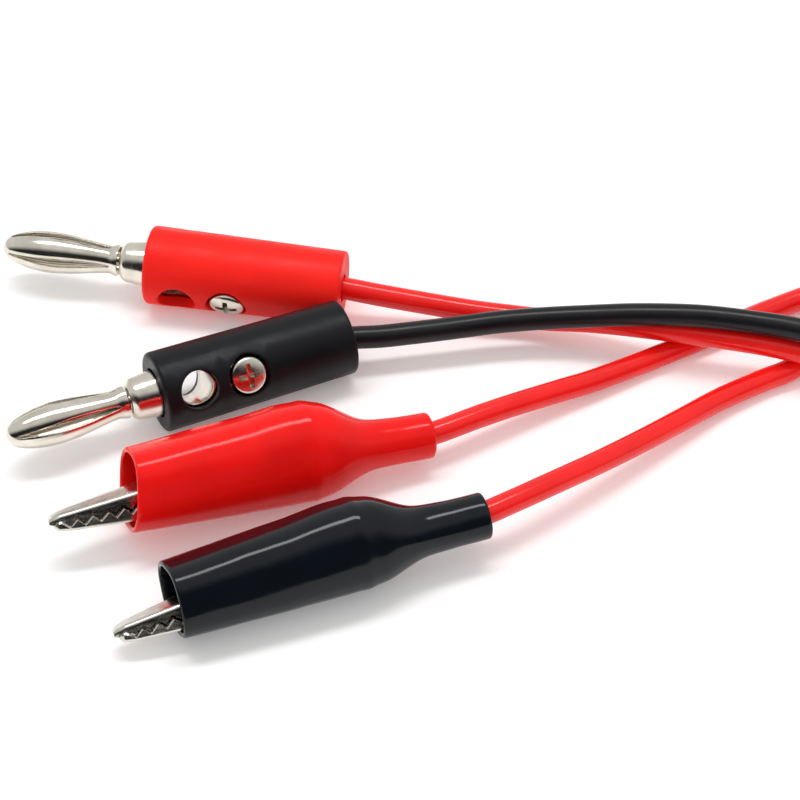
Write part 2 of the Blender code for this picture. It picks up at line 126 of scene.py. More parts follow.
# How many columns go round a sleeve or barrel, and how many cells a hole's window takes up: this many
# columns to each side of its middle, and this many rows.
RING_COUNT = 96
WINDOW = 13
WINDOW_ROWS = 12

# ---- clip, from the tips of the jaws ----
PIVOT = (18.5, 0.0, 1.3)
SHEET = 0.4
TOOTH_PITCH = 1.72
TOOTH_SWING = 0.38
TOOTH_GAP = 0.13
JAW_EDGE = 0.05
TOOTH_CHAMFER = 0.3
BARREL_AXIS_Z = 2.35
CORD_ENTRY_X = 37.6


# ---------------------------------------------------------------- camera, light and floor


def camera(target):
    """A view 45 degrees down on the plugs and clips."""
    tilt = math.radians(CAMERA_TILT)
    away = Vector((0.0, -math.cos(tilt), math.sin(tilt)))
    data = bpy.data.cameras.new("camera")
    data.sensor_width = 36.0
    data.lens = LENS
    data.clip_start = 0.01
    view = bpy.data.objects.new("camera", data)
    view.location = target + away * CAMERA_DISTANCE
    view.rotation_euler = (-away).to_track_quat("-Z", "Y").to_euler()
    bpy.context.scene.collection.objects.link(view)
    bpy.context.scene.camera = view
    bpy.context.scene.view_settings.view_transform = "Standard"


def softbox(target):
    """The one lamp: a wide softbox high above, slightly behind the object."""
    lamp = bpy.data.lights.new("softbox_key", "AREA")
    lamp.shape = "RECTANGLE"
    lamp.size, lamp.size_y = KEY_SIZE
    lamp.energy = KEY_POWER
    holder = bpy.data.objects.new("softbox_key", lamp)
    holder.location = target + KEY_PLACE
    holder.rotation_euler = (-KEY_PLACE).to_track_quat("-Z", "Y").to_euler()
    bpy.context.scene.collection.objects.link(holder)


def surround():
    """A world that lights matt surfaces evenly and shows reflections a darker front."""
    world = bpy.data.worlds.new("studio")
    bpy.context.scene.world = world
    world.use_nodes = True
    tree = world.node_tree
    background = tree.nodes["Background"]
    background.inputs["Color"].default_value = SKY_TINT
    coordinates = tree.nodes.new("ShaderNodeTexCoord")
    toward_back = tree.nodes.new("ShaderNodeVectorMath")
    toward_back.operation = "DOT_PRODUCT"
    toward_back.inputs[1].default_value = SKY_BRIGHT_WAY
    glow = tree.nodes.new("ShaderNodeMapRange")
    glow.interpolation_type = "SMOOTHSTEP"
    for socket, value in zip(("From Min", "From Max", "To Min", "To Max"), SKY_FADE + SKY_LEVELS):
        glow.inputs[socket].default_value = value
    ray = tree.nodes.new("ShaderNodeLightPath")
    even = tree.nodes.new("ShaderNodeMix")
    even.inputs["B"].default_value = SKY_EVEN
    tree.links.new(coordinates.outputs["Generated"], toward_back.inputs[0])
    tree.links.new(toward_back.outputs["Value"], glow.inputs["Value"])
    tree.links.new(glow.outputs[0], even.inputs["A"])
    tree.links.new(ray.outputs["Is Diffuse Ray"], even.inputs["Factor"])
    tree.links.new(even.outputs["Result"], background.inputs["Strength"])


def floor():
    """White paper, lit a little from below as on a light table, so that shadows stay pale."""
    mesh = bmesh.new()
    bmesh.ops.create_grid(mesh, x_segments=2, y_segments=2, size=1.5)
    data = bpy.data.meshes.new("floor")
    mesh.to_mesh(data)
    mesh.free()
    table = bpy.data.objects.new("floor", data)
    table.location = (0.02, 0.0, -0.00002)
    bpy.context.scene.collection.objects.link(table)
    look, shader = new_look("floor_paper", (FLOOR_WHITE,) * 3, 0.0, 0.7, Emission_Strength=FLOOR_GLOW)
    shader.inputs["Emission Color"].default_value = (1.0, 1.0, 1.0, 1.0)
    relief(look, shader, noise(look, 900.0, 3.0), 0.05, 0.00005)
    data.materials.append(look)


# ---------------------------------------------------------------- materials


def new_look(name, colour, metallic, roughness, **extra):
    """A material with its even values set on the shader's own sockets."""
    look = bpy.data.materials.new(name)
    look.use_nodes = True
    shader = look.node_tree.nodes["Principled BSDF"]
    shader.inputs["Base Color"].default_value = (*colour, 1.0)
    shader.inputs["Metallic"].default_value = metallic
    shader.inputs["Roughness"].default_value = roughness
    for socket, value in extra.items():
        shader.inputs[socket.replace("_", " ")].default_value = value
    return look, shader


def noise(look, scale, detail, stretch=(1.0, 1.0, 1.0)):
    """Noise in the piece's own space; scale is in features per metre."""
    tree = look.node_tree
    coordinates = tree.nodes.new("ShaderNodeTexCoord")
    mapping = tree.nodes.new("ShaderNodeMapping")
    mapping.inputs["Scale"].default_value = stretch
    texture = tree.nodes.new("ShaderNodeTexNoise")
    texture.inputs["Scale"].default_value = scale
    texture.inputs["Detail"].default_value = detail
    tree.links.new(coordinates.outputs["Object"], mapping.inputs["Vector"])
    tree.links.new(mapping.outputs[0], texture.inputs["Vector"])
    return texture.outputs["Fac"]


def spread(look, factor, low, high):
    """Map a noise's middle range on to low to high."""
    node = look.node_tree.nodes.new("ShaderNodeMapRange")
    for socket, value in (("From Min", 0.3), ("From Max", 0.7), ("To Min", low), ("To Max", high)):
        node.inputs[socket].default_value = value
    look.node_tree.links.new(factor, node.inputs["Value"])
    return node.outputs[0]


def blended(look, factor, first, second):
    """A colour between two, by a factor."""
    node = look.node_tree.nodes.new("ShaderNodeMix")
    node.data_type = "RGBA"
    node.inputs["A"].default_value = (*first, 1.0)
    node.inputs["B"].default_value = (*second, 1.0)
    look.node_tree.links.new(factor, node.inputs["Factor"])
    return node.outputs["Result"]


def relief(look, shader, height, strength, distance, under=None):
    """Bump from a height, on top of another bump if one is given."""
    node = look.node_tree.nodes.new("ShaderNodeBump")
    node.inputs["Strength"].default_value = strength
    node.inputs["Distance"].default_value = distance
    look.node_tree.links.new(height, node.inputs["Height"])
    if under is not None:
        look.node_tree.links.new(under, node.inputs["Normal"])
    look.node_tree.links.new(node.outputs[0], shader.inputs["Normal"])
    return node.outputs[0]


def shade(colour, factor):
    return tuple(min(1.0, c * factor) for c in colour)


def polymer(name, colour, rough, waviness, grain, **extra):
    """Moulded plastic or dipped PVC: slight clouding, uneven gloss, flow waves and fine grain."""
    look, shader = new_look(name, colour, 0.0, rough, **extra)
    cloud = noise(look, 170.0, 3.0)
    tree = look.node_tree
    tree.links.new(
        blended(look, spread(look, cloud, 0.0, 1.0), shade(colour, 0.90), shade(colour, 1.08)),
        shader.inputs["Base Color"],
    )
    smear = noise(look, 420.0, 4.0, (0.35, 1.0, 1.0))
    tree.links.new(spread(look, smear, rough * 0.8, rough * 1.25), shader.inputs["Roughness"])
    waves = relief(look, shader, noise(look, 210.0, 1.0, (0.6, 1.0, 1.0)), waviness, 0.0006)
    relief(look, shader, noise(look, 5200.0, 2.0), grain, 0.00003, waves)
    return look


def metal(name, bright, dull, smooth, rough, stretch, marks):
    """Nickel plating: slight tone shifts, uneven gloss and fine working marks along one direction."""
    look, shader = new_look(name, bright, 1.0, smooth)
    tree = look.node_tree
    tone = noise(look, 380.0, 3.0)
    tree.links.new(
        blended(look, spread(look, tone, 0.0, 1.0), bright, dull), shader.inputs["Base Color"]
    )
    streak = noise(look, 1500.0, 4.0, stretch)
    tree.links.new(spread(look, streak, smooth, rough), shader.inputs["Roughness"])
    relief(look, shader, streak, marks, 0.00003)
    return look


RED = (0.97, 0.010, 0.005)
RED_BOOT = (0.86, 0.006, 0.005)
RED_CORD = (0.86, 0.010, 0.008)
BLACK = (0.006, 0.007, 0.009)
BLACK_BOOT = (0.004, 0.006, 0.009)
BLACK_CORD = (0.008, 0.008, 0.010)
NICKEL = (0.84, 0.80, 0.71)
NICKEL_DULL = (0.66, 0.62, 0.54)
STEEL = (0.78, 0.76, 0.71)
STEEL_DULL = (0.60, 0.58, 0.54)


def woven_tape():
    """Hook-and-loop tape: a fine weave in three directions under short fuzz."""
    tape, shader = new_look("woven_tape", (0.020, 0.020, 0.022), 0.0, 0.85, Sheen_Weight=0.35)
    tree = tape.node_tree
    coordinates = tree.nodes.new("ShaderNodeTexCoord")
    threads = []
    for direction in ("X", "Y", "Z"):
        wave = tree.nodes.new("ShaderNodeTexWave")
        wave.bands_direction = direction
        wave.inputs["Scale"].default_value = 420.0
        wave.inputs["Distortion"].default_value = 0.6
        tree.links.new(coordinates.outputs["Object"], wave.inputs["Vector"])
        threads.append(wave.outputs["Fac"])
    weave = threads[0]
    for thread in threads[1:]:
        add = tree.nodes.new("ShaderNodeMath")
        tree.links.new(weave, add.inputs[0])
        tree.links.new(thread, add.inputs[1])
        weave = add.outputs[0]
    fuzz = relief(tape, shader, noise(tape, 2600.0, 4.0), 0.5, 0.0002)
    relief(tape, shader, weave, 0.6, 0.00015, fuzz)
    return tape


# Slot: name, colour, roughness, waviness, grain, and the shader's other even values.
POLYMERS = {
    "red_sleeve": (("red_sleeve_plastic", RED, 0.46, 0.05, 0.05), {"Specular_IOR_Level": 0.2}),
    "black_sleeve": (("black_sleeve_plastic", BLACK, 0.40, 0.05, 0.06), {"Specular_IOR_Level": 0.18}),
    "red_boot": (
        ("red_boot_pvc", RED_BOOT, 0.19, 0.14, 0.02),
        {"Specular_IOR_Level": 0.16, "Coat_Weight": 0.16},
    ),
    "black_boot": (
        ("black_boot_pvc", BLACK_BOOT, 0.12, 0.28, 0.02),
        {"Specular_IOR_Level": 0.2, "Coat_Weight": 0.16},
    ),
    "red_cord": (
        ("red_cord_pvc", RED_CORD, 0.20, 0.02, 0.01),
        {"Specular_IOR_Level": 0.2, "Coat_Weight": 0.45, "Coat_Roughness": 0.14},
    ),
    "black_cord": (("black_cord_pvc", BLACK_CORD, 0.30, 0.02, 0.01), {"Specular_IOR_Level": 0.28}),
    "splice_sleeve": (("heat_shrink", (0.022, 0.022, 0.024), 0.55, 0.12, 0.2), {}),
}
EVEN = (1.0, 1.0, 1.0)
# Slot: name, bright and dull tone, least and most roughness, stretch of the working marks, their depth.
METALS = {
    "plug_barrel": ("turned_nickel", NICKEL, NICKEL_DULL, 0.10, 0.26, (1.0, 0.05, 0.05), 0.12),
    "plug_contact": ("spring_nickel", NICKEL, NICKEL_DULL, 0.08, 0.20, (0.1, 1.0, 1.0), 0.10),
    "screw": ("screw_nickel", NICKEL, NICKEL_DULL, 0.12, 0.28, EVEN, 0.15),
    "jaw": ("pressed_nickel", STEEL, STEEL_DULL, 0.12, 0.30, (0.15, 1.0, 1.0), 0.15),
    "small_steel": ("spring_steel", STEEL, STEEL_DULL, 0.2, 0.38, EVEN, 0.2),
    "copper_wire": ("copper", (0.90, 0.50, 0.32), (0.68, 0.32, 0.18), 0.2, 0.4, EVEN, 0.2),
}


def looks():
    """Every material, by the record's slot."""
    made = {slot: polymer(*values, **extra) for slot, (values, extra) in POLYMERS.items()}
    made |= {slot: metal(*values) for slot, values in METALS.items()}
    made["coil_tie"] = woven_tape()
    return made


LOOKS = looks()
# These pieces keep their mesh in the frame's own axes, so that their box at rest is a close one.
MOULDED = ("red_sleeve", "black_sleeve", "red_boot", "black_boot")


# ---------------------------------------------------------------- shapes


def placement(place, azimuth, tilt, roll):
    """The matrix of one plug or clip, in metres."""
    turn = Matrix.Rotation(math.radians(azimuth), 4, "Z")
    turn = turn @ Matrix.Rotation(math.radians(-tilt), 4, "Y")
    turn = turn @ Matrix.Rotation(math.radians(-roll), 4, "X")
    return Matrix.Translation((Vector(place) - ORIGIN) * MM) @ turn


def bridge(mesh, first, second):
    """Faces between two loops of vertices; either may be a single vertex."""
    count = max(len(first), len(second))
    for i in range(count):
        j = (i + 1) % count
        corners = (first[i % len(first)], first[j % len(first)])
        corners += (second[j % len(second)], second[i % len(second)])
        mesh.faces.new(list(dict.fromkeys(corners)))


def skin(rings, looped=False):
    """Faces between successive rings of points; the ends are capped, or joined to each other."""
    mesh = bmesh.new()
    rows = [[mesh.verts.new(point) for point in ring] for ring in rings]
    for first, second in zip(rows, rows[1:]):
        bridge(mesh, first, second)
    if looped:
        bridge(mesh, rows[-1], rows[0])
        return mesh
    for row in (rows[0], rows[-1]):
        if len(row) > 2:
            mesh.faces.new(row)
    return mesh


def turned(outline, segments, axis="X", centre=(0.0, 0.0, 0.0)):
    """Turn (along, radius) points about an X or Y axis through centre."""
    rings = []
    for along, radius in outline:
        ring = []
        for i in range(1 if radius == 0 else segments):
            angle = 2 * math.pi * i / segments
            a, b = radius * math.cos(angle), radius * math.sin(angle)
            local = {"X": (along, a, b), "Y": (b, along, a)}[axis]
            ring.append(Vector(local) + Vector(centre))
        rings.append(ring)
    return skin(rings, looped=outline[0][1] != 0)


def rounded(corners, steps=4, closed=False):
    """An outline whose corners (x, y, fillet) are rounded off; a fillet of 0 keeps the corner."""
    outline = []
    for i, (x, y, fillet) in enumerate(corners):
        here = Vector((x, y))
        if fillet == 0 or (not closed and i in (0, len(corners) - 1)):
            outline.append((x, y))
            continue
        before = Vector(corners[i - 1][:2]) - here
        after = Vector(corners[(i + 1) % len(corners)][:2]) - here
        start = here + before.normalized() * fillet
        end = here + after.normalized() * fillet
        for k in range(steps + 1):
            t = k / steps
            outline.append(tuple(start * (1 - t) ** 2 + here * 2 * t * (1 - t) + end * t**2))
    return outline


def piece(name, mesh, holder, body, slot, *replaced, sharp=40.0, bevel=0.0):
    """Finish a mesh in millimetres: place it, shade it, give it its material and its CAD body.

    Sharp is the angle, in degrees, from which an edge stays sharp, and bevel rounds such edges.
    """
    bmesh.ops.recalc_face_normals(mesh, faces=mesh.faces)
    for vert in mesh.verts:
        vert.co *= MM
    data = bpy.data.meshes.new(name)
    mesh.to_mesh(data)
    mesh.free()
    made = bpy.data.objects.new(name, data)
    if slot in MOULDED:
        data.transform(holder)
    else:
        made.matrix_world = holder
    bpy.context.scene.collection.objects.link(made)
    data.shade_smooth()
    data.set_sharp_from_angle(angle=math.radians(sharp))
    if bevel:
        edge = made.modifiers.new("edges", "BEVEL")
        edge.width = bevel * MM
        edge.segments = 2
        edge.limit_method = "ANGLE"
        edge.angle_limit = math.radians(sharp)
        edge.use_clamp_overlap = True
        edge.harden_normals = True
    data.materials.append(LOOKS[slot])
    made.cycles.shadow_terminator_geometry_offset = 0.35
    if body is not None:
        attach(made, body)
    if replaced:
        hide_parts(*replaced)
    return made


def sampled(points, step):
    """Evenly spaced points on a smooth curve through the given ones, both ends kept."""
    knots = np.array([points[0], *points, points[-1]], dtype=float)
    knots[0] = 2 * knots[1] - knots[2]
    knots[-1] = 2 * knots[-2] - knots[-3]
    fine = []
    for a, b, c, d in zip(knots, knots[1:], knots[2:], knots[3:]):
        for t in np.linspace(0.0, 1.0, 24, endpoint=False):
            bend = (2 * a - 5 * b + 4 * c - d) * t**2 + (3 * b - a - 3 * c + d) * t**3
            fine.append(b + 0.5 * ((c - a) * t + bend))
    fine = np.array([*fine, knots[-2]])
    run = np.concatenate([[0.0], np.cumsum(np.linalg.norm(np.diff(fine, axis=0), axis=1))])
    places = np.linspace(0.0, run[-1], max(2, round(run[-1] / step)) + 1)
    return np.stack([np.interp(places, run, fine[:, k]) for k in range(3)], axis=1)


def sweep(points, radii, sides):
    """A round tube along points, of one radius or one for each point, turned as little as possible."""
    points = [Vector(p) for p in points]
    if isinstance(radii, float):
        radii = [radii] * len(points)
    rings = []
    normal = None
    for i, point in enumerate(points):
        ahead = points[min(i + 1, len(points) - 1)]
        behind = points[max(i - 1, 0)]
        tangent = (ahead - behind).normalized()
        if normal is None:
            normal = tangent.orthogonal().normalized()
        normal = (normal - tangent * normal.dot(tangent)).normalized()
        other = tangent.cross(normal)
        ring = []
        for k in range(sides):
            angle = 2 * math.pi * k / sides
            ring.append(point + (normal * math.cos(angle) + other * math.sin(angle)) * radii[i])
        rings.append(ring)
    return skin(rings)


def read_row(table, x):
    """A smooth row of values from a table whose rows start with x."""
    rows = np.array(table, dtype=float)
    slopes = np.gradient(rows[:, 1:], rows[:, 0], axis=0)
    i = int(np.clip(np.searchsorted(rows[:, 0], x, side="right") - 1, 0, len(rows) - 2))
    width = rows[i + 1, 0] - rows[i, 0]
    t = (x - rows[i, 0]) / width
    h00, h10 = 2 * t**3 - 3 * t**2 + 1, t**3 - 2 * t**2 + t
    h01, h11 = 3 * t**2 - 2 * t**3, t**3 - t**2
    ends = h00 * rows[i, 1:] + h01 * rows[i + 1, 1:]
    return ends + width * (h10 * slopes[i] + h11 * slopes[i + 1])


# ---------------------------------------------------------------- cords


def on_axis(matrix, x, z=0.0):
    """A point of a plug's or clip's own axis, in layout millimetres."""
    return tuple(matrix @ Vector((x * MM, 0.0, z * MM)) / MM + ORIGIN)


def coil(layers):
    """The turns of one spare coil: in along the lower layer, out along the upper one."""
    outer, inner = COIL_RADII
    low, high = layers
    steps = round(COIL_TURNS * 24)
    points = []
    for i in range(steps + 1):
        turns = COIL_TURNS * i / steps
        from_middle = turns - COIL_TURNS / 2
        radius = inner + (outer - inner) * abs(from_middle) / (COIL_TURNS / 2)
        if abs(from_middle) < 0.2:
            radius = inner + (outer - inner) * (0.1 + 2.5 * from_middle**2) / (COIL_TURNS / 2)
        rise = min(1.0, max(0.0, 0.5 + from_middle / 0.7))
        rise = rise * rise * (3 - 2 * rise)
        angle = math.radians(COIL_START) + 2 * math.pi * turns
        x = COIL_CENTRE[0] + radius * math.cos(angle)
        y = COIL_CENTRE[1] + radius * math.sin(angle)
        points.append((x, y, low + (high - low) * rise))
    return points


def lead(name, route, slot, replaced, with_pieces=()):
    """One free cord through layout points, as a swept tube."""
    path = [Vector(p) - ORIGIN for p in sampled(route, CORD_STEP)]
    made = piece(
        name, sweep(path, CORD_RADIUS, CORD_SIDES), Matrix(), "leads", slot, *replaced, sharp=60.0
    )


TO_COIL = [(81.6, -5.5), (84.5, -6.3)]
FROM_COIL = [(81.3, 31.35), (78.7, 30.15)]


def at_height(places, z):
    return [(x, y, z) for x, y in places]


def wound(layers):
    """A coil with the straight runs that lead into it and out of it."""
    return at_height(TO_COIL, layers[0]) + coil(layers) + at_height(FROM_COIL, layers[1])


def splice():
    """Heat-shrink tube over the black lead's joint: soft shoulders, and a bulge over the joint."""
    first, last = (Vector(end) - ORIGIN for end in SPLICE_ENDS)
    steps = 40
    radii = []
    for i in range(steps + 1):
        t = i / steps
        shoulder = min(1.0, min(t, 1 - t) / 0.12)
        joint = math.exp(-(((t - 0.5) / 0.16) ** 2))
        swell = SPLICE_SWELL * shoulder * shoulder * (3 - 2 * shoulder)
        radii.append(SPLICE_RADIUS + swell + SPLICE_JOINT * joint)
    spine = [first.lerp(last, i / steps) for i in range(steps + 1)]
    mesh = sweep(spine, radii, 28)
    return piece("splice_heat_shrink", mesh, Matrix(), "leads", "splice_sleeve", "splice_sleeve")


def cords(ends, strap):
    """The three cords, from plug to coil to clip or splice, through the same points as in the CAD."""
    red_plug, black_plug, red_clip, black_clip = ends
    lead(
        "red_lead",
        [on_axis(red_plug, x) for x in (16.6, 20.0, 23.6)]
        + [(-2.4, 13.65, 3.95), (2.4, 13.1, 3.3), (8.3, 12.4, 2.6), (13.0, 11.9, 2.25)]
        + [(17.2, 11.25, 2.25), (22.5, 10.35, 2.75), (28.4, 8.55, 3.6), (35.0, 6.3, 4.5)]
        + [(41.8, 4.95, 4.35), (46.5, 3.7, 4.2), (53.0, 2.1, 3.6), (62.0, -0.3, 2.5)]
        + [(69.0, -2.15, 2.3), (76.0, -4.0, 2.3)]
        + wound(RED_LAYERS)
        + [(73.3, 27.6, 5.0), (69.0, 25.5, 4.8), (64.0, 23.2, 3.9), (55.0, 19.0, 1.8)]
        + [(47.3, 15.4, 1.41), (42.6, 12.9, 1.41), (36.6, 9.4, 1.41), (30.5, 6.0, 1.41)]
        + [(26.0, 3.4, 1.6), (22.1, 1.13, 1.9), (18.55, -0.74, 2.3), (15.0, -2.67, 2.75)]
        + [(11.5, -4.66, 3.2), (8.6, -6.35, 3.5), (5.07, -8.4, 3.7)]
        + [on_axis(red_clip, x, BARREL_AXIS_Z) for x in (43.8, 41.5, CORD_ENTRY_X)],
        "red_cord",
        ("red_plug_cord", "red_coil", "red_clip_cord"),
    )
    lead(
        "black_lead",
        [on_axis(black_plug, x) for x in (16.6, 20.0)]
        + [(-6.4, 5.77, 4.38), (-2.3, 6.3, 4.2), (1.2, 6.9, 4.15), (4.7, 7.45, 4.2)]
        + [(8.2, 8.05, 4.25), (11.7, 8.6, 4.35), (16.4, 8.95, 4.55), (22.3, 8.7, 5.2)]
        + [(28.1, 7.75, 6.35), (35.0, 6.4, 7.35), (41.75, 5.35, 7.25), (46.2, 4.33, 7.2)]
        + [(53.0, 2.1, 7.2), (62.0, -0.3, 7.9), (69.0, -2.15, 8.0), (76.0, -4.0, 8.0)]
        + wound(BLACK_LAYERS)
        + [(73.3, 27.6, 10.7), (70.0, 25.9, 10.3), (66.6, 23.75, 9.03), (64.94, 22.52, 8.46)],
        "black_cord",
        ("black_plug_cord", "black_coil", "black_coil_tail"),
        [splice(), strap],
    )
    lead(
        "black_clip_lead",
        [(54.96, 15.12, 5.04), (53.28, 13.87, 4.46), (52.0, 11.5, 3.6), (49.6, 8.0, 2.0)]
        + [(46.1, 4.0, 1.45), (41.9, 1.6, 1.45), (37.0, -1.54, 1.7), (32.0, -5.65, 2.3)]
        + [(27.4, -9.53, 3.0), (22.6, -13.4, 3.75), (18.0, -16.85, 4.45), (14.0, -19.7, 4.9)]
        + [(9.6, -22.5, 5.1)]
        + [on_axis(black_clip, x, BARREL_AXIS_Z) for x in (40.5, CORD_ENTRY_X)],
        "red_cord",
        ("black_clip_cord",),
    )


def tie():
    """The hook-and-loop strap round both coils: a flat closed band with thinned edges."""
    centre = Vector((*COIL_CENTRE, 0.0)) - ORIGIN
    inner = math.sqrt(COIL_INNER**2 - (TIE_WIDTH / 2) ** 2) - FIT_GAP
    outer = COIL_OUTER + FIT_GAP
    core = rounded(
        (
            (inner, TIE_LIFT, 0.9),
            (outer, TIE_LIFT, 1.6),
            (outer, COIL_TOP, 1.6),
            (inner, COIL_TOP, 0.9),
        ),
        6,
        True,
    )
    count = len(core)
    rings = []
    half = TIE_WIDTH / 2
    for i, (x, z) in enumerate(core):
        ahead = Vector(core[(i + 1) % count]) - Vector(core[i - 1])
        out = Vector((ahead.y, -ahead.x)).normalized()
        ring = []
        inside = ((-1, 0.12), (-0.94, 0.0), (0.94, 0.0), (1, 0.12))
        outside = tuple((-across, TIE_SHEET - depth) for across, depth in inside)
        for across, depth in inside + outside:
            ring.append((x + out.x * depth, across * half, z + out.y * depth))
        rings.append([Vector(p) + centre for p in ring])
    return piece(
        "coil_tie_strap", skin(rings, looped=True), Matrix(), "leads", "coil_tie", "coil_tie", sharp=50.0
    )


# ---------------------------------------------------------------- plugs


def windowed(outline, windows):
    """A turned ring of (x, radius) rows with rectangular windows left out of it.

    A window is (row with the low x, row with the high x, middle column). Its loop of vertices runs
    from low z to high z at the low x, and back at the high x, whichever side it is on.
    """
    count = RING_COUNT
    mesh = bmesh.new()
    rows = []
    for x, radius in outline:
        columns = 1 if radius == 0 else count
        angles = [2 * math.pi * j / count for j in range(columns)]
        rows.append([mesh.verts.new((x, -radius * math.cos(a), radius * math.sin(a))) for a in angles])
    left_out = set()
    loops = []
    for low, high, middle in windows:
        for i in range(min(low, high), max(low, high)):
            left_out |= {(i, j % count) for j in range(middle - WINDOW, middle + WINDOW)}
        side = 1 if middle == 0 else -1
        columns = [(middle + side * k) % count for k in range(-WINDOW, WINDOW + 1)]
        step = 1 if high > low else -1
        path = [(low, j) for j in columns]
        path += [(i, columns[-1]) for i in range(low + step, high + step, step)]
        path += [(high, j) for j in columns[-2::-1]]
        path += [(i, columns[0]) for i in range(high - step, low, -step)]
        loops.append([rows[i][j] for i, j in path])
    closed = outline[0][1] > 0
    pairs = len(rows) if closed else len(rows) - 1
    for i in range(pairs):
        first, second = rows[i], rows[(i + 1) % len(rows)]
        for j in range(count):
            if (i, j) in left_out:
                continue
            k = (j + 1) % count
            corners = (first[j % len(first)], first[k % len(first)])
            corners += (second[k % len(second)], second[j % len(second)])
            mesh.faces.new(list(dict.fromkeys(corners)))
    return mesh, loops


def hole_rings(mesh, loop, x, side, radius_at, steps):
    """Rings of vertices from a window's loop down into a round hole. Steps are (radius, depth)."""
    rings = [loop]
    angles = [math.atan2(v.co.z, v.co.x - x) for v in loop]
    for radius, depth in steps:
        ring = []
        for angle in angles:
            u, z = radius * math.cos(angle), radius * math.sin(angle)
            w = math.sqrt(max(radius_at(x + u) ** 2 - z**2, 0.0)) - depth
            ring.append(mesh.verts.new((x + u, side * w, z)))
        bridge(mesh, rings[-1], ring)
        rings.append(ring)
    return rings[-1]


def lip(radius, bevel, steps=4):
    """(radius, depth) steps that turn a surface smoothly into a hole's wall."""
    turn = []
    for k in range(steps + 1):
        angle = math.pi / 2 * k / steps
        turn.append((radius + bevel * (1 - math.sin(angle)), bevel * (1 - math.cos(angle))))
    return turn


def span(low, high, count):
    """Evenly spaced values from low to high, count steps apart."""
    return [low + (high - low) * i / count for i in range(count + 1)]


def plug_sleeve(name, holder, colour):
    """The plastic sleeve: a slightly tapered tube with soft rims, a cross hole and a screw hole."""
    taper = (SLEEVE_REAR - SLEEVE_FRONT) / SLEEVE_LENGTH

    def outside(x):
        return SLEEVE_FRONT + taper * x

    def inside(_):
        return SLEEVE_BORE

    cross_rows = span(CROSS_X - 3.15, CROSS_X + 3.1, WINDOW_ROWS)
    screw_rows = span(CROSS_X + 3.1, SCREW_X + 3.15, WINDOW_ROWS)
    rear = SLEEVE_LENGTH
    front_rim = rounded(
        ((0.0, SLEEVE_COLLAR_BORE, 0), (0.0, outside(0), 0.55), (0.9, outside(0.9), 0)), 6
    )
    rear_rim = rounded(
        ((22.9, outside(22.9), 0), (rear, outside(rear), 0.35), (rear, CORD_HOLE, 0)), 5
    )
    outer = [(x, outside(x)) for x in cross_rows[:-1] + screw_rows + [16.0, 18.5, 21.0]]
    inner_cross = span(CROSS_X - 2.62, CROSS_X + 2.62, WINDOW_ROWS)
    inner_screw = span(SCREW_X - 2.75, SCREW_X + 2.75, WINDOW_ROWS)
    inner = [(16.5, CORD_HOLE), (16.5, SLEEVE_BORE)]
    inner += [(x, SLEEVE_BORE) for x in (inner_cross + inner_screw)[::-1]]
    inner += [(1.2, SLEEVE_BORE), (1.2, SLEEVE_COLLAR_BORE)]
    outline = front_rim[:-1] + outer + rear_rim + inner
    at = {row: i for i, row in enumerate(outline)}
    windows = []
    for rows in (cross_rows, screw_rows):
        windows.append((at[(rows[0], outside(rows[0]))], at[(rows[-1], outside(rows[-1]))]))
    for rows in (inner_cross, inner_screw):
        windows.append((at[(rows[0], SLEEVE_BORE)], at[(rows[-1], SLEEVE_BORE)]))
    half_turn = RING_COUNT // 2
    cross_out, screw_out, cross_in, screw_in = windows
    placed = [(*cross_out, 0), (*screw_out, 0), (*cross_out, half_turn)]
    placed += [(*cross_in, 0), (*screw_in, 0), (*cross_in, half_turn)]
    mesh, loops = windowed(outline, placed)
    holes = ((CROSS_X, 2.25, -1), (SCREW_X, 2.45, -1), (CROSS_X, 2.25, 1))
    for (x, radius, side), outer_loop, inner_loop in zip(holes, loops[:3], loops[3:]):
        down = [(radius + 0.6, 0.0), *lip(radius, 0.22)]
        upper = hole_rings(mesh, outer_loop, x, side, outside, down)
        lower = hole_rings(mesh, inner_loop, x, side, inside, [(radius, 0.0)])
        bridge(mesh, upper, lower)
    slot = f"{colour}_sleeve"
    piece(f"{name}_sleeve_shell", mesh, holder, "leads", slot, f"{name}_sleeve", sharp=38.0)


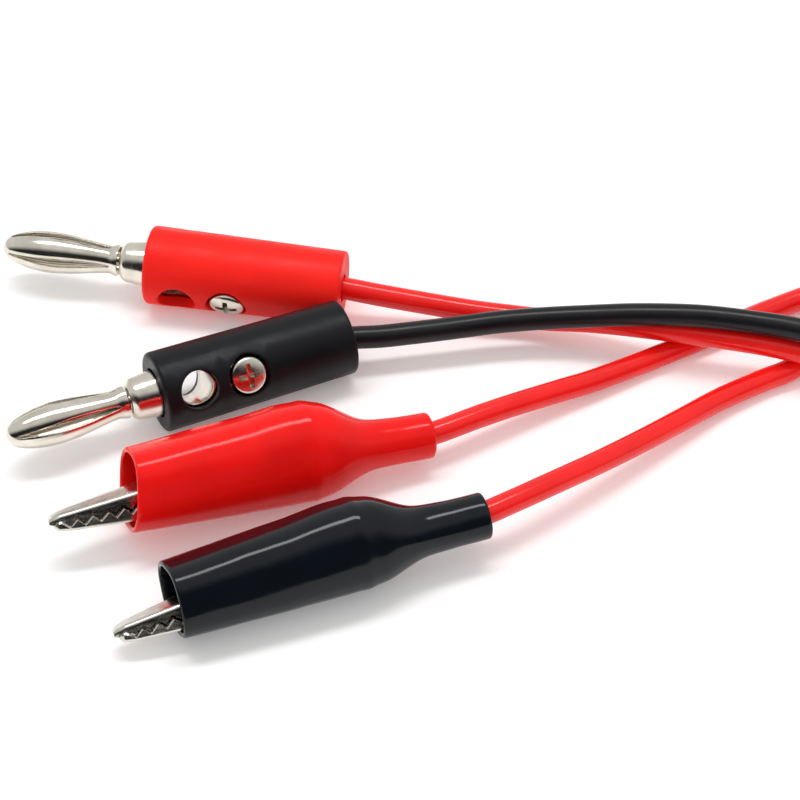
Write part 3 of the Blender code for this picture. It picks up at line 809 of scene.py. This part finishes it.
def plug_barrel(name, holder):
    """The nickel barrel: collar in front of the sleeve, neck, body with its cross and screw holes."""

    def outside(_):
        return BARREL_RADIUS

    cross_rows = span(CROSS_X - 2.5, CROSS_X + 2.9, WINDOW_ROWS)
    screw_rows = span(CROSS_X + 2.9, SCREW_X + 2.6, WINDOW_ROWS)
    collar = rounded(
        (
            (0.8, 0.0, 0),
            (0.8, 1.1, 0),
            (-3.4, 1.1, 0.12),
            (-3.4, 1.88, 0.14),
            (-2.85, 2.42, 0.3),
            (-0.1, 2.75, 0.1),
            (-0.1, 2.65, 0),
            (1.5, 2.65, 0),
            (1.5, BARREL_RADIUS, 0),
        ),
        4,
    )
    body = [(x, BARREL_RADIUS) for x in cross_rows[:-1] + screw_rows]
    rear = [(16.2, BARREL_RADIUS), (16.2, 1.3), (13.6, 1.3), (13.6, 0.0)]
    outline = collar + body + rear
    low = len(collar)
    middle = low + WINDOW_ROWS
    half_turn = RING_COUNT // 2
    cross = (low, middle)
    placed = [(*cross, 0), (*cross, half_turn), (middle, middle + WINDOW_ROWS, 0)]
    mesh, loops = windowed(outline, placed)
    cross_steps = [(2.3, 0.0), *lip(2.0, 0.12, 3)]
    near = hole_rings(mesh, loops[0], CROSS_X, -1, outside, cross_steps)
    far = hole_rings(mesh, loops[1], CROSS_X, 1, outside, cross_steps)
    bridge(mesh, near, far)
    bottom = hole_rings(mesh, loops[2], SCREW_X, -1, outside, [(1.9, 0.0), *lip(1.6, 0.1, 3)])
    seat = [mesh.verts.new((v.co.x, -1.4, v.co.z)) for v in bottom]
    bridge(mesh, bottom, seat)
    mesh.faces.new(seat)
    piece(f"{name}_barrel_turned", mesh, holder, "leads", "plug_barrel", f"{name}_barrel", sharp=38.0)

    pin = rounded(
        ((0.5, 0.0, 0), (0.5, 0.8, 0.1), (-15.1, 0.8, 0.2), (-15.5, 0.4, 0.1), (-15.5, 0.0, 0)), 4
    )
    piece(f"{name}_core_pin_rod", turned(pin, 40), holder, "leads", "plug_contact", f"{name}_core_pin")
    strands(f"{name}_strands", holder, 14.0, 16.3, 0.0, f"{name}_conductor")


def strands(name, holder, start, end, z, replaced):
    """Bare twisted strands, a core and six round it, that touch each other."""
    mesh = bmesh.new()
    lay, spacing, radius = 7.0, 0.49, 0.255
    for k in range(7):
        offset = 0.0 if k == 0 else spacing
        points = []
        for x in span(start, end, 24):
            angle = 2 * math.pi * (k / 6 + x / lay)
            points.append((x, offset * math.cos(angle), z + offset * math.sin(angle)))
        part = sweep(points, radius, 12)
        scratch = bpy.data.meshes.new("strand")
        part.to_mesh(scratch)
        part.free()
        mesh.from_mesh(scratch)
        bpy.data.meshes.remove(scratch)
    piece(name, mesh, holder, "leads", "copper_wire", replaced, sharp=60.0)


# The cage's outside, as (x, radius), from its root at the collar to its nose.
CAGE_ROWS = (
    (-3.7, 1.95),
    (-4.05, 1.90),
    (-4.8, 1.70),
    (-5.4, 1.74),
    (-6.6, 1.90),
    (-8.0, 2.12),
    (-10.0, 2.38),
    (-12.3, 2.5),
    (-14.0, 2.37),
    (-15.6, 2.03),
    (-16.5, 1.73),
    (-17.2, 1.37),
    (-17.65, 0.95),
    (-17.85, 0.5),
    (-17.9, 0.2),
)


def spring_cage(name, holder, first_slot):
    """The sprung cage: four bowed leaves rolled from one sheet, closed at the nose and at the root."""
    slot_rear, slot_front = -4.65, -17.0
    leaf_cells = 16
    wall = 0.32
    table = [(-x, r) for x, r in CAGE_ROWS]
    # Distances in front of the sleeve at which there is a ring: close together where the slots end.
    stations = [3.7, 3.85, 4.05, 4.3, 4.5]
    stations += [-slot_rear + 0.12 * k for k in range(3)]
    stations += span(-slot_rear + 0.5, -slot_front - 0.5, 44)
    stations += [-slot_front - 0.12 * k for k in range(2, -1, -1)]
    stations += [17.25, 17.5, 17.68, 17.8, 17.86, 17.9]

    def slot_half(x):
        """Half the width of a slot: rounded ends, widest where the leaves bow out most."""
        t = (x + slot_rear) / (slot_rear - slot_front)
        if t <= 0 or t >= 1:
            return 0.05
        lens = 0.14 + 0.50 * math.sin(math.pi * t**0.9) ** 1.3
        ends = math.sqrt(min(1.0, min(t, 1 - t) * (slot_rear - slot_front) / 0.25))
        return max(0.05, lens * ends)

    def ring(x, inset):
        radius = float(read_row(table, x)[0])
        points = []
        for leaf in range(4):
            opening = slot_half(x) / radius
            low = math.radians(90 * leaf + first_slot) + opening
            high = math.radians(90 * leaf + 90 + first_slot) - opening
            for k in range(leaf_cells + 1):
                t = k / leaf_cells
                angle = low + (high - low) * t
                curl = 0.10 * (2 * t - 1) ** 4 * min(1.0, slot_half(x) / 0.3)
                reach = max(radius - inset - curl, 0.06)
                points.append((-x, reach * math.cos(angle), reach * math.sin(angle)))
        return points

    mesh = bmesh.new()
    outer = [[mesh.verts.new(p) for p in ring(x, 0.0)] for x in stations]
    inner_stations = [x for x in stations if x < 17.3]
    inner = [[mesh.verts.new(p) for p in ring(x, wall)] for x in inner_stations]
    columns = 4 * (leaf_cells + 1)
    for rows, places in ((outer, stations), (inner, inner_stations)):
        for i in range(len(rows) - 1):
            open_here = places[i] >= -slot_rear and places[i + 1] <= -slot_front + 1e-9
            for j in range(columns):
                k = (j + 1) % columns
                if open_here and j % (leaf_cells + 1) == leaf_cells:
                    continue
                mesh.faces.new((rows[i][j], rows[i][k], rows[i + 1][k], rows[i + 1][j]))
    first = stations.index(-slot_rear)
    last = max(i for i, x in enumerate(stations) if x <= -slot_front + 1e-9)
    for leaf in range(4):
        j = leaf * (leaf_cells + 1) + leaf_cells
        k = (j + 1) % columns
        for i in range(first, last):
            mesh.faces.new((outer[i][j], outer[i + 1][j], inner[i + 1][j], inner[i][j]))
            mesh.faces.new((outer[i][k], outer[i + 1][k], inner[i + 1][k], inner[i][k]))
        for i in (first, last):
            mesh.faces.new((outer[i][j], outer[i][k], inner[i][k], inner[i][j]))
    bridge(mesh, outer[0], inner[0])
    mesh.faces.new(outer[-1])
    mesh.faces.new(inner[-1])
    piece(
        f"{name}_cage_leaves",
        mesh,
        holder,
        f"{name}_cage",
        "plug_contact",
        f"{name}_spring_cage",
        sharp=50.0,
        bevel=0.05,
    )


def clamp_screw(name, holder):
    """The cheese-head clamp screw with its cross recess and a threaded shank."""
    top = rounded(((-4.72, 0.0, 0), (-4.66, 1.0, 0.5), (-4.3, 2.15, 0.35), (-3.55, 2.15, 0.1)), 5)
    shank = [(-3.55, 1.25)]
    pitch, root, crest = 0.5, 1.1, 1.3
    y = -3.4
    while y < -1.75:
        shank += [(y, root), (y + pitch * 0.4, crest), (y + pitch * 0.5, crest), (y + pitch * 0.9, root)]
        y += pitch
    outline = top + shank + [(-1.5, 0.95), (-1.5, 0.0)]
    mesh = turned(outline, 56, "Y", (SCREW_X, 0.0, 0.0))
    screw = piece(
        f"{name}_screw_turned",
        mesh,
        holder,
        f"{name}_screw",
        "screw",
        f"{name}_clamp_screw",
        sharp=SCREW_SHARP,
    )
    corners = ((-1, -1), (1, -1), (1, 1), (-1, 1))
    for across_x, across_z in ((1.62, 0.36), (0.36, 1.62)):
        rings = []
        for y, factor in ((-3.75, 0.45), (-5.0, 1.0)):
            half_x, half_z = across_x * factor, across_z * (0.55 + 0.45 * factor)
            rings.append([(SCREW_X + sx * half_x, y, sz * half_z) for sx, sz in corners])
        cut(screw, skin(rings), holder)


def cut(target, mesh, holder):
    """Subtract a millimetre mesh from a piece and keep only the result."""
    bmesh.ops.recalc_face_normals(mesh, faces=mesh.faces)
    for vert in mesh.verts:
        vert.co *= MM
    data = bpy.data.meshes.new("cutter")
    mesh.to_mesh(data)
    mesh.free()
    helper = bpy.data.objects.new("cutter", data)
    helper.matrix_world = holder
    bpy.context.scene.collection.objects.link(helper)
    modifier = target.modifiers.new("cut", "BOOLEAN")
    modifier.operation = "DIFFERENCE"
    modifier.solver = "EXACT"
    modifier.object = helper
    bpy.context.view_layer.update()
    graph = bpy.context.evaluated_depsgraph_get()
    result = bpy.data.meshes.new_from_object(target.evaluated_get(graph))
    target.modifiers.remove(modifier)
    before = target.data
    target.data = result
    bpy.data.meshes.remove(before)
    bpy.data.objects.remove(helper, do_unlink=True)
    result.set_sharp_from_angle(angle=math.radians(SCREW_SHARP))


# ---------------------------------------------------------------- clips


def teeth(offset):
    """The zigzag edge of one jaw, as (x, z) points along the mating line."""
    edge = []
    for i in range(13):
        swing = -TOOTH_SWING if i % 2 == 0 else TOOTH_SWING
        x = 0.4 + TOOTH_PITCH / 2 * i
        edge.append((x, 0.08 * x + offset + swing))
    return edge


def channel(halves, spine, edge, bend, tip, upward):
    """A closed shell: sheet bent into a channel, from its half width, spine and edge height against x.

    Bend is the radius along the spine, and tip is how far the free edges are chamfered.
    """
    low, high = spine[0][0], spine[-1][0]
    xs = sorted({round(x, 3) for line in (halves, spine, edge) for x, _ in line})
    xs = sorted({*xs, *(round(x, 3) for x in span(low, high, 60))})
    xs = [x for i, x in enumerate(xs) if low <= x <= high and (i == 0 or x - xs[i - 1] > 0.02)]
    sign = 1 if upward else -1
    rings = []
    for x in xs:
        half, top, rim = (float(np.interp(x, *zip(*line))) for line in (halves, spine, edge))
        drop = max((top - rim) * sign, SHEET + 0.08)
        radius = min(bend, 0.8 * drop, 0.8 * half)
        outer = [(half - tip, -drop), (half, tip - drop)]
        outer += [(half, (tip - drop) * (1 - k / 4) - radius * k / 4) for k in range(1, 5)]
        for k in range(1, 6):
            angle = math.pi / 2 * k / 5
            outer.append((half - radius * (1 - math.cos(angle)), radius * (math.sin(angle) - 1)))
        outer += [((half - radius) * 0.5, 0.0), (0.0, 0.0)]
        inner = []
        small = max(radius - SHEET, 0.05)
        wide = half - SHEET
        for k in range(5, -1, -1):
            angle = math.pi / 2 * k / 5
            inner.append((wide - small * (1 - math.cos(angle)), small * (math.sin(angle) - 1) - SHEET))
        inner = [(0.0, -SHEET), ((wide - small) * 0.5, -SHEET), *inner]
        reach = inner[-1][1]
        inner += [(wide, reach + (JAW_EDGE - drop - reach) * k / 4) for k in range(1, 5)]
        inner += [(wide + JAW_EDGE, -drop)]
        left = [(-y, z) for y, z in outer]
        right = [(y, z) for y, z in outer[-2::-1]]
        under = [(y, z) for y, z in inner[::-1]]
        back = [(-y, z) for y, z in inner[1:]]
        ring = left + right + under + back
        rings.append([(x, y, top + sign * max(z, -drop)) for y, z in ring])
    return skin(rings)


def jaws(name, holder):
    """Both jaws, bent from nickel-plated sheet with zigzag edges that mesh."""
    upper = channel(
        halves=((0.0, 0.68), (0.5, 0.98), (2.0, 1.22), (10.0, 2.0), (11.2, 2.05), (12.2, 1.85))
        + ((29.0, 1.85),),
        spine=((0.0, 0.42), (0.35, 0.72), (1.4, 1.05), (10.0, 2.4), (18.5, 3.9), (21.0, 4.0))
        + ((29.0, 6.5),),
        edge=[(0.0, 0.02), *teeth(TOOTH_GAP), (12.5, 1.0), (16.9, 1.0), (17.4, 0.1)]
        + [(18.0, -0.28), (19.0, -0.28), (19.6, 0.1), (20.1, 1.0), (21.0, 2.6), (29.0, 5.4)],
        bend=0.45,
        tip=JAW_EDGE,
        upward=True,
    )
    piece(
        f"{name}_upper_jaw_sheet", upper, holder, f"{name}_jaw", "jaw", f"{name}_upper_jaw", bevel=0.04
    )
    front = 0.5
    lower = channel(
        halves=((front, 0.75), (1.0, 1.12), (2.4, 1.45), (10.0, 2.2), (13.0, 2.55), (24.0, 2.55))
        + ((31.0, 1.75), (33.4, 1.7)),
        spine=((front, -0.5), (0.85, -0.85), (2.0, -0.93), (10.0, -0.95), (24.0, -0.8))
        + ((32.5, 0.65), (33.4, 0.8)),
        edge=[*(point for point in teeth(-TOOTH_GAP) if point[0] > front), (10.72, 0.714)]
        + [(12.8, 0.9), (15.5, 2.6), (17.0, 3.1), (20.0, 3.1), (22.5, 1.2)]
        + [(29.0, 1.7), (33.4, 2.6)],
        bend=0.35,
        tip=TOOTH_CHAMFER,
        upward=False,
    )
    piece(f"{name}_lower_jaw_sheet", lower, holder, "leads", "jaw", f"{name}_lower_jaw", bevel=0.04)


def crimp_and_rivet(name, holder):
    """The crimped barrel that grips the strands, and the rivet that the upper jaw turns on."""
    crimp = rounded(
        (
            (32.9, 1.15, 0.15),
            (32.9, 1.65, 0.15),
            (34.3, 1.65, 0.3),
            (34.7, 1.45, 0.3),
            (35.4, 1.45, 0.3),
            (35.8, 1.65, 0.3),
            (37.0, 1.65, 0.15),
            (37.0, 1.15, 0.15),
        ),
        4,
        True,
    )
    barrel = turned(crimp, 40, "X", (0.0, 0.0, BARREL_AXIS_Z))
    piece(f"{name}_crimp", barrel, holder, "leads", "jaw")
    half = rounded(((3.0, 0.0, 0), (3.0, 0.95, 0.25), (2.78, 1.2, 0.08), (2.78, 0.7, 0)), 4)
    rivet = [(-y, r) for y, r in half] + half[::-1]
    piece(
        f"{name}_rivet_turned",
        turned(rivet, 40, "Y", PIVOT),
        holder,
        "leads",
        "small_steel",
        f"{name}_rivet",
        bevel=0.04,
    )


def torsion_spring(name, holder):
    """Three and a half turns of round wire about the rivet, with a leg for each jaw."""
    radius, side = 1.3, 1.05
    steps = 42
    turns = []
    for i in range(steps + 1):
        angle = math.pi / 2 + 7 * math.pi * i / steps
        y = side * (2 * i / steps - 1)
        turns.append((PIVOT[0] + radius * math.cos(angle), y, PIVOT[2] + radius * math.sin(angle)))
    upper_leg = [(24.5, -side, 4.1), (21.5, -side, 3.35)]
    lower_leg = [(21.5, side, 0.0), (24.5, side, 0.0)]
    spring = piece(
        f"{name}_spring_wire",
        sweep(sampled(upper_leg + turns + lower_leg, 0.2), 0.24, 14),
        holder,
        None,
        "small_steel",
        f"{name}_torsion_spring",
        sharp=60.0,
    )
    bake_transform(spring)


# Rows of x, centre height, half height, half width, squareness of the section, wall.
BOOT_TABLE = (
    (0.0, 2.15, 4.3, 4.45, 2.7, 0.6),
    (7.0, 2.42, 4.65, 4.6, 2.7, 0.62),
    (14.0, 2.72, 5.0, 4.65, 2.6, 0.65),
    (20.0, 3.0, 5.3, 4.6, 2.5, 0.7),
    (23.5, 2.95, 4.95, 4.25, 2.4, 0.75),
    (28.5, 2.45, 2.98, 2.98, 2.0, 0.85),
    (32.0, 2.36, 2.68, 2.68, 2.0, 0.95),
    (36.4, 2.33, 2.65, 2.65, 2.0, 0.95),
)
BOOT_LENGTH = 36.4
BOOT_INNER_END = 30.6
BOOT_SIDES = 96
# The low ridge across the hump, where the lever's end presses from inside.
RIDGE_X = 21.4
RIDGE_HEIGHT = 0.14
RIDGE_WIDTH = 0.8


def boot(name, holder, mouth, shape, colour):
    """The dipped PVC boot: thin rounded lip, flattened body, hump over the lever, round tail."""
    stretch, swell, lean, skew = shape

    def section(x, inset):
        """One ring of the boot's surface, inset from its outside."""
        centre, rise, half, power, _ = read_row(BOOT_TABLE, x)
        rise *= 1 + (swell - 1) * min(1.0, max(0.0, (30.0 - x) / 8.0))
        at_mouth = max(0.0, 1 - x / 10.0)
        ridge = RIDGE_HEIGHT * math.exp(-(((x - RIDGE_X) / RIDGE_WIDTH) ** 2))
        ring = []
        for i in range(BOOT_SIDES):
            angle = 2 * math.pi * i / BOOT_SIDES
            c, s = math.cos(angle), math.sin(angle)
            sag = 0.015 * math.sin(0.6 * x + 1.3 + s) + 0.005 * math.sin(1.7 * x + 2 * c)
            out = ridge + sag * min(1.0, x / 3.0) - inset
            y = (half + out) * math.copysign(abs(c) ** (2 / power), c)
            z = (rise + out) * math.copysign(abs(s) ** (2 / power), s)
            ring.append((mouth + stretch * x + at_mouth * (lean * z + skew * y), y, centre + z))
        return ring

    def wall(x):
        return read_row(BOOT_TABLE, x)[4]

    rings = []
    lip_wall = wall(0.0)
    for k in range(9):
        angle = math.pi * k / 8
        depth = lip_wall / 2 * (1 - math.sin(angle))
        rings.append(section(depth, lip_wall / 2 * (1 + math.cos(angle))))
    rings += [section(x, 0.0) for x in span(0.8, BOOT_LENGTH - 0.35, 84)]
    for k in range(1, 5):
        angle = math.pi / 2 * k / 4
        x = BOOT_LENGTH - 0.3 * (1 - math.sin(angle))
        rings.append(section(x, 0.3 * (1 - math.cos(angle))))
    for x in (BOOT_LENGTH, BOOT_LENGTH - 0.15, BOOT_INNER_END + 0.8):
        inset = 0.15 if x == BOOT_LENGTH else 0.0
        rings.append(section(x, read_row(BOOT_TABLE, x)[1] - CORD_HOLE - inset))
    rings += [section(x, wall(x)) for x in span(BOOT_INNER_END, 0.8, 40)]
    piece(
        f"{name}_boot_pvc",
        skin(rings, looped=True),
        holder,
        "leads",
        f"{colour}_boot",
        f"{name}_boot",
        sharp=60.0,
    )


# ---------------------------------------------------------------- the whole object


def main():
    target = (Vector((0.0, 0.0, 0.0)) - ORIGIN) * MM
    camera(target)
    softbox(target)
    surround()
    floor()
    ends = []
    for name, place, azimuth, roll, first_slot, colour in PLUGS:
        holder = placement(place, azimuth, PLUG_TILT, roll)
        ends.append(holder)
        plug_sleeve(name, holder, colour)
        plug_barrel(name, holder)
        spring_cage(name, holder, first_slot)
        clamp_screw(name, holder)
    for name, place, azimuth, tilt, mouth, shape, colour in CLIPS:
        holder = placement(place, azimuth, tilt, CLIP_ROLL)
        ends.append(holder)
        boot(name, holder, mouth, shape, colour)
        jaws(name, holder)
        crimp_and_rivet(name, holder)
        torsion_spring(name, holder)
        strands(f"{name}_strands", holder, 33.0, 37.3, BARREL_AXIS_Z, f"{name}_conductor")
    cords(ends, tie())


main()
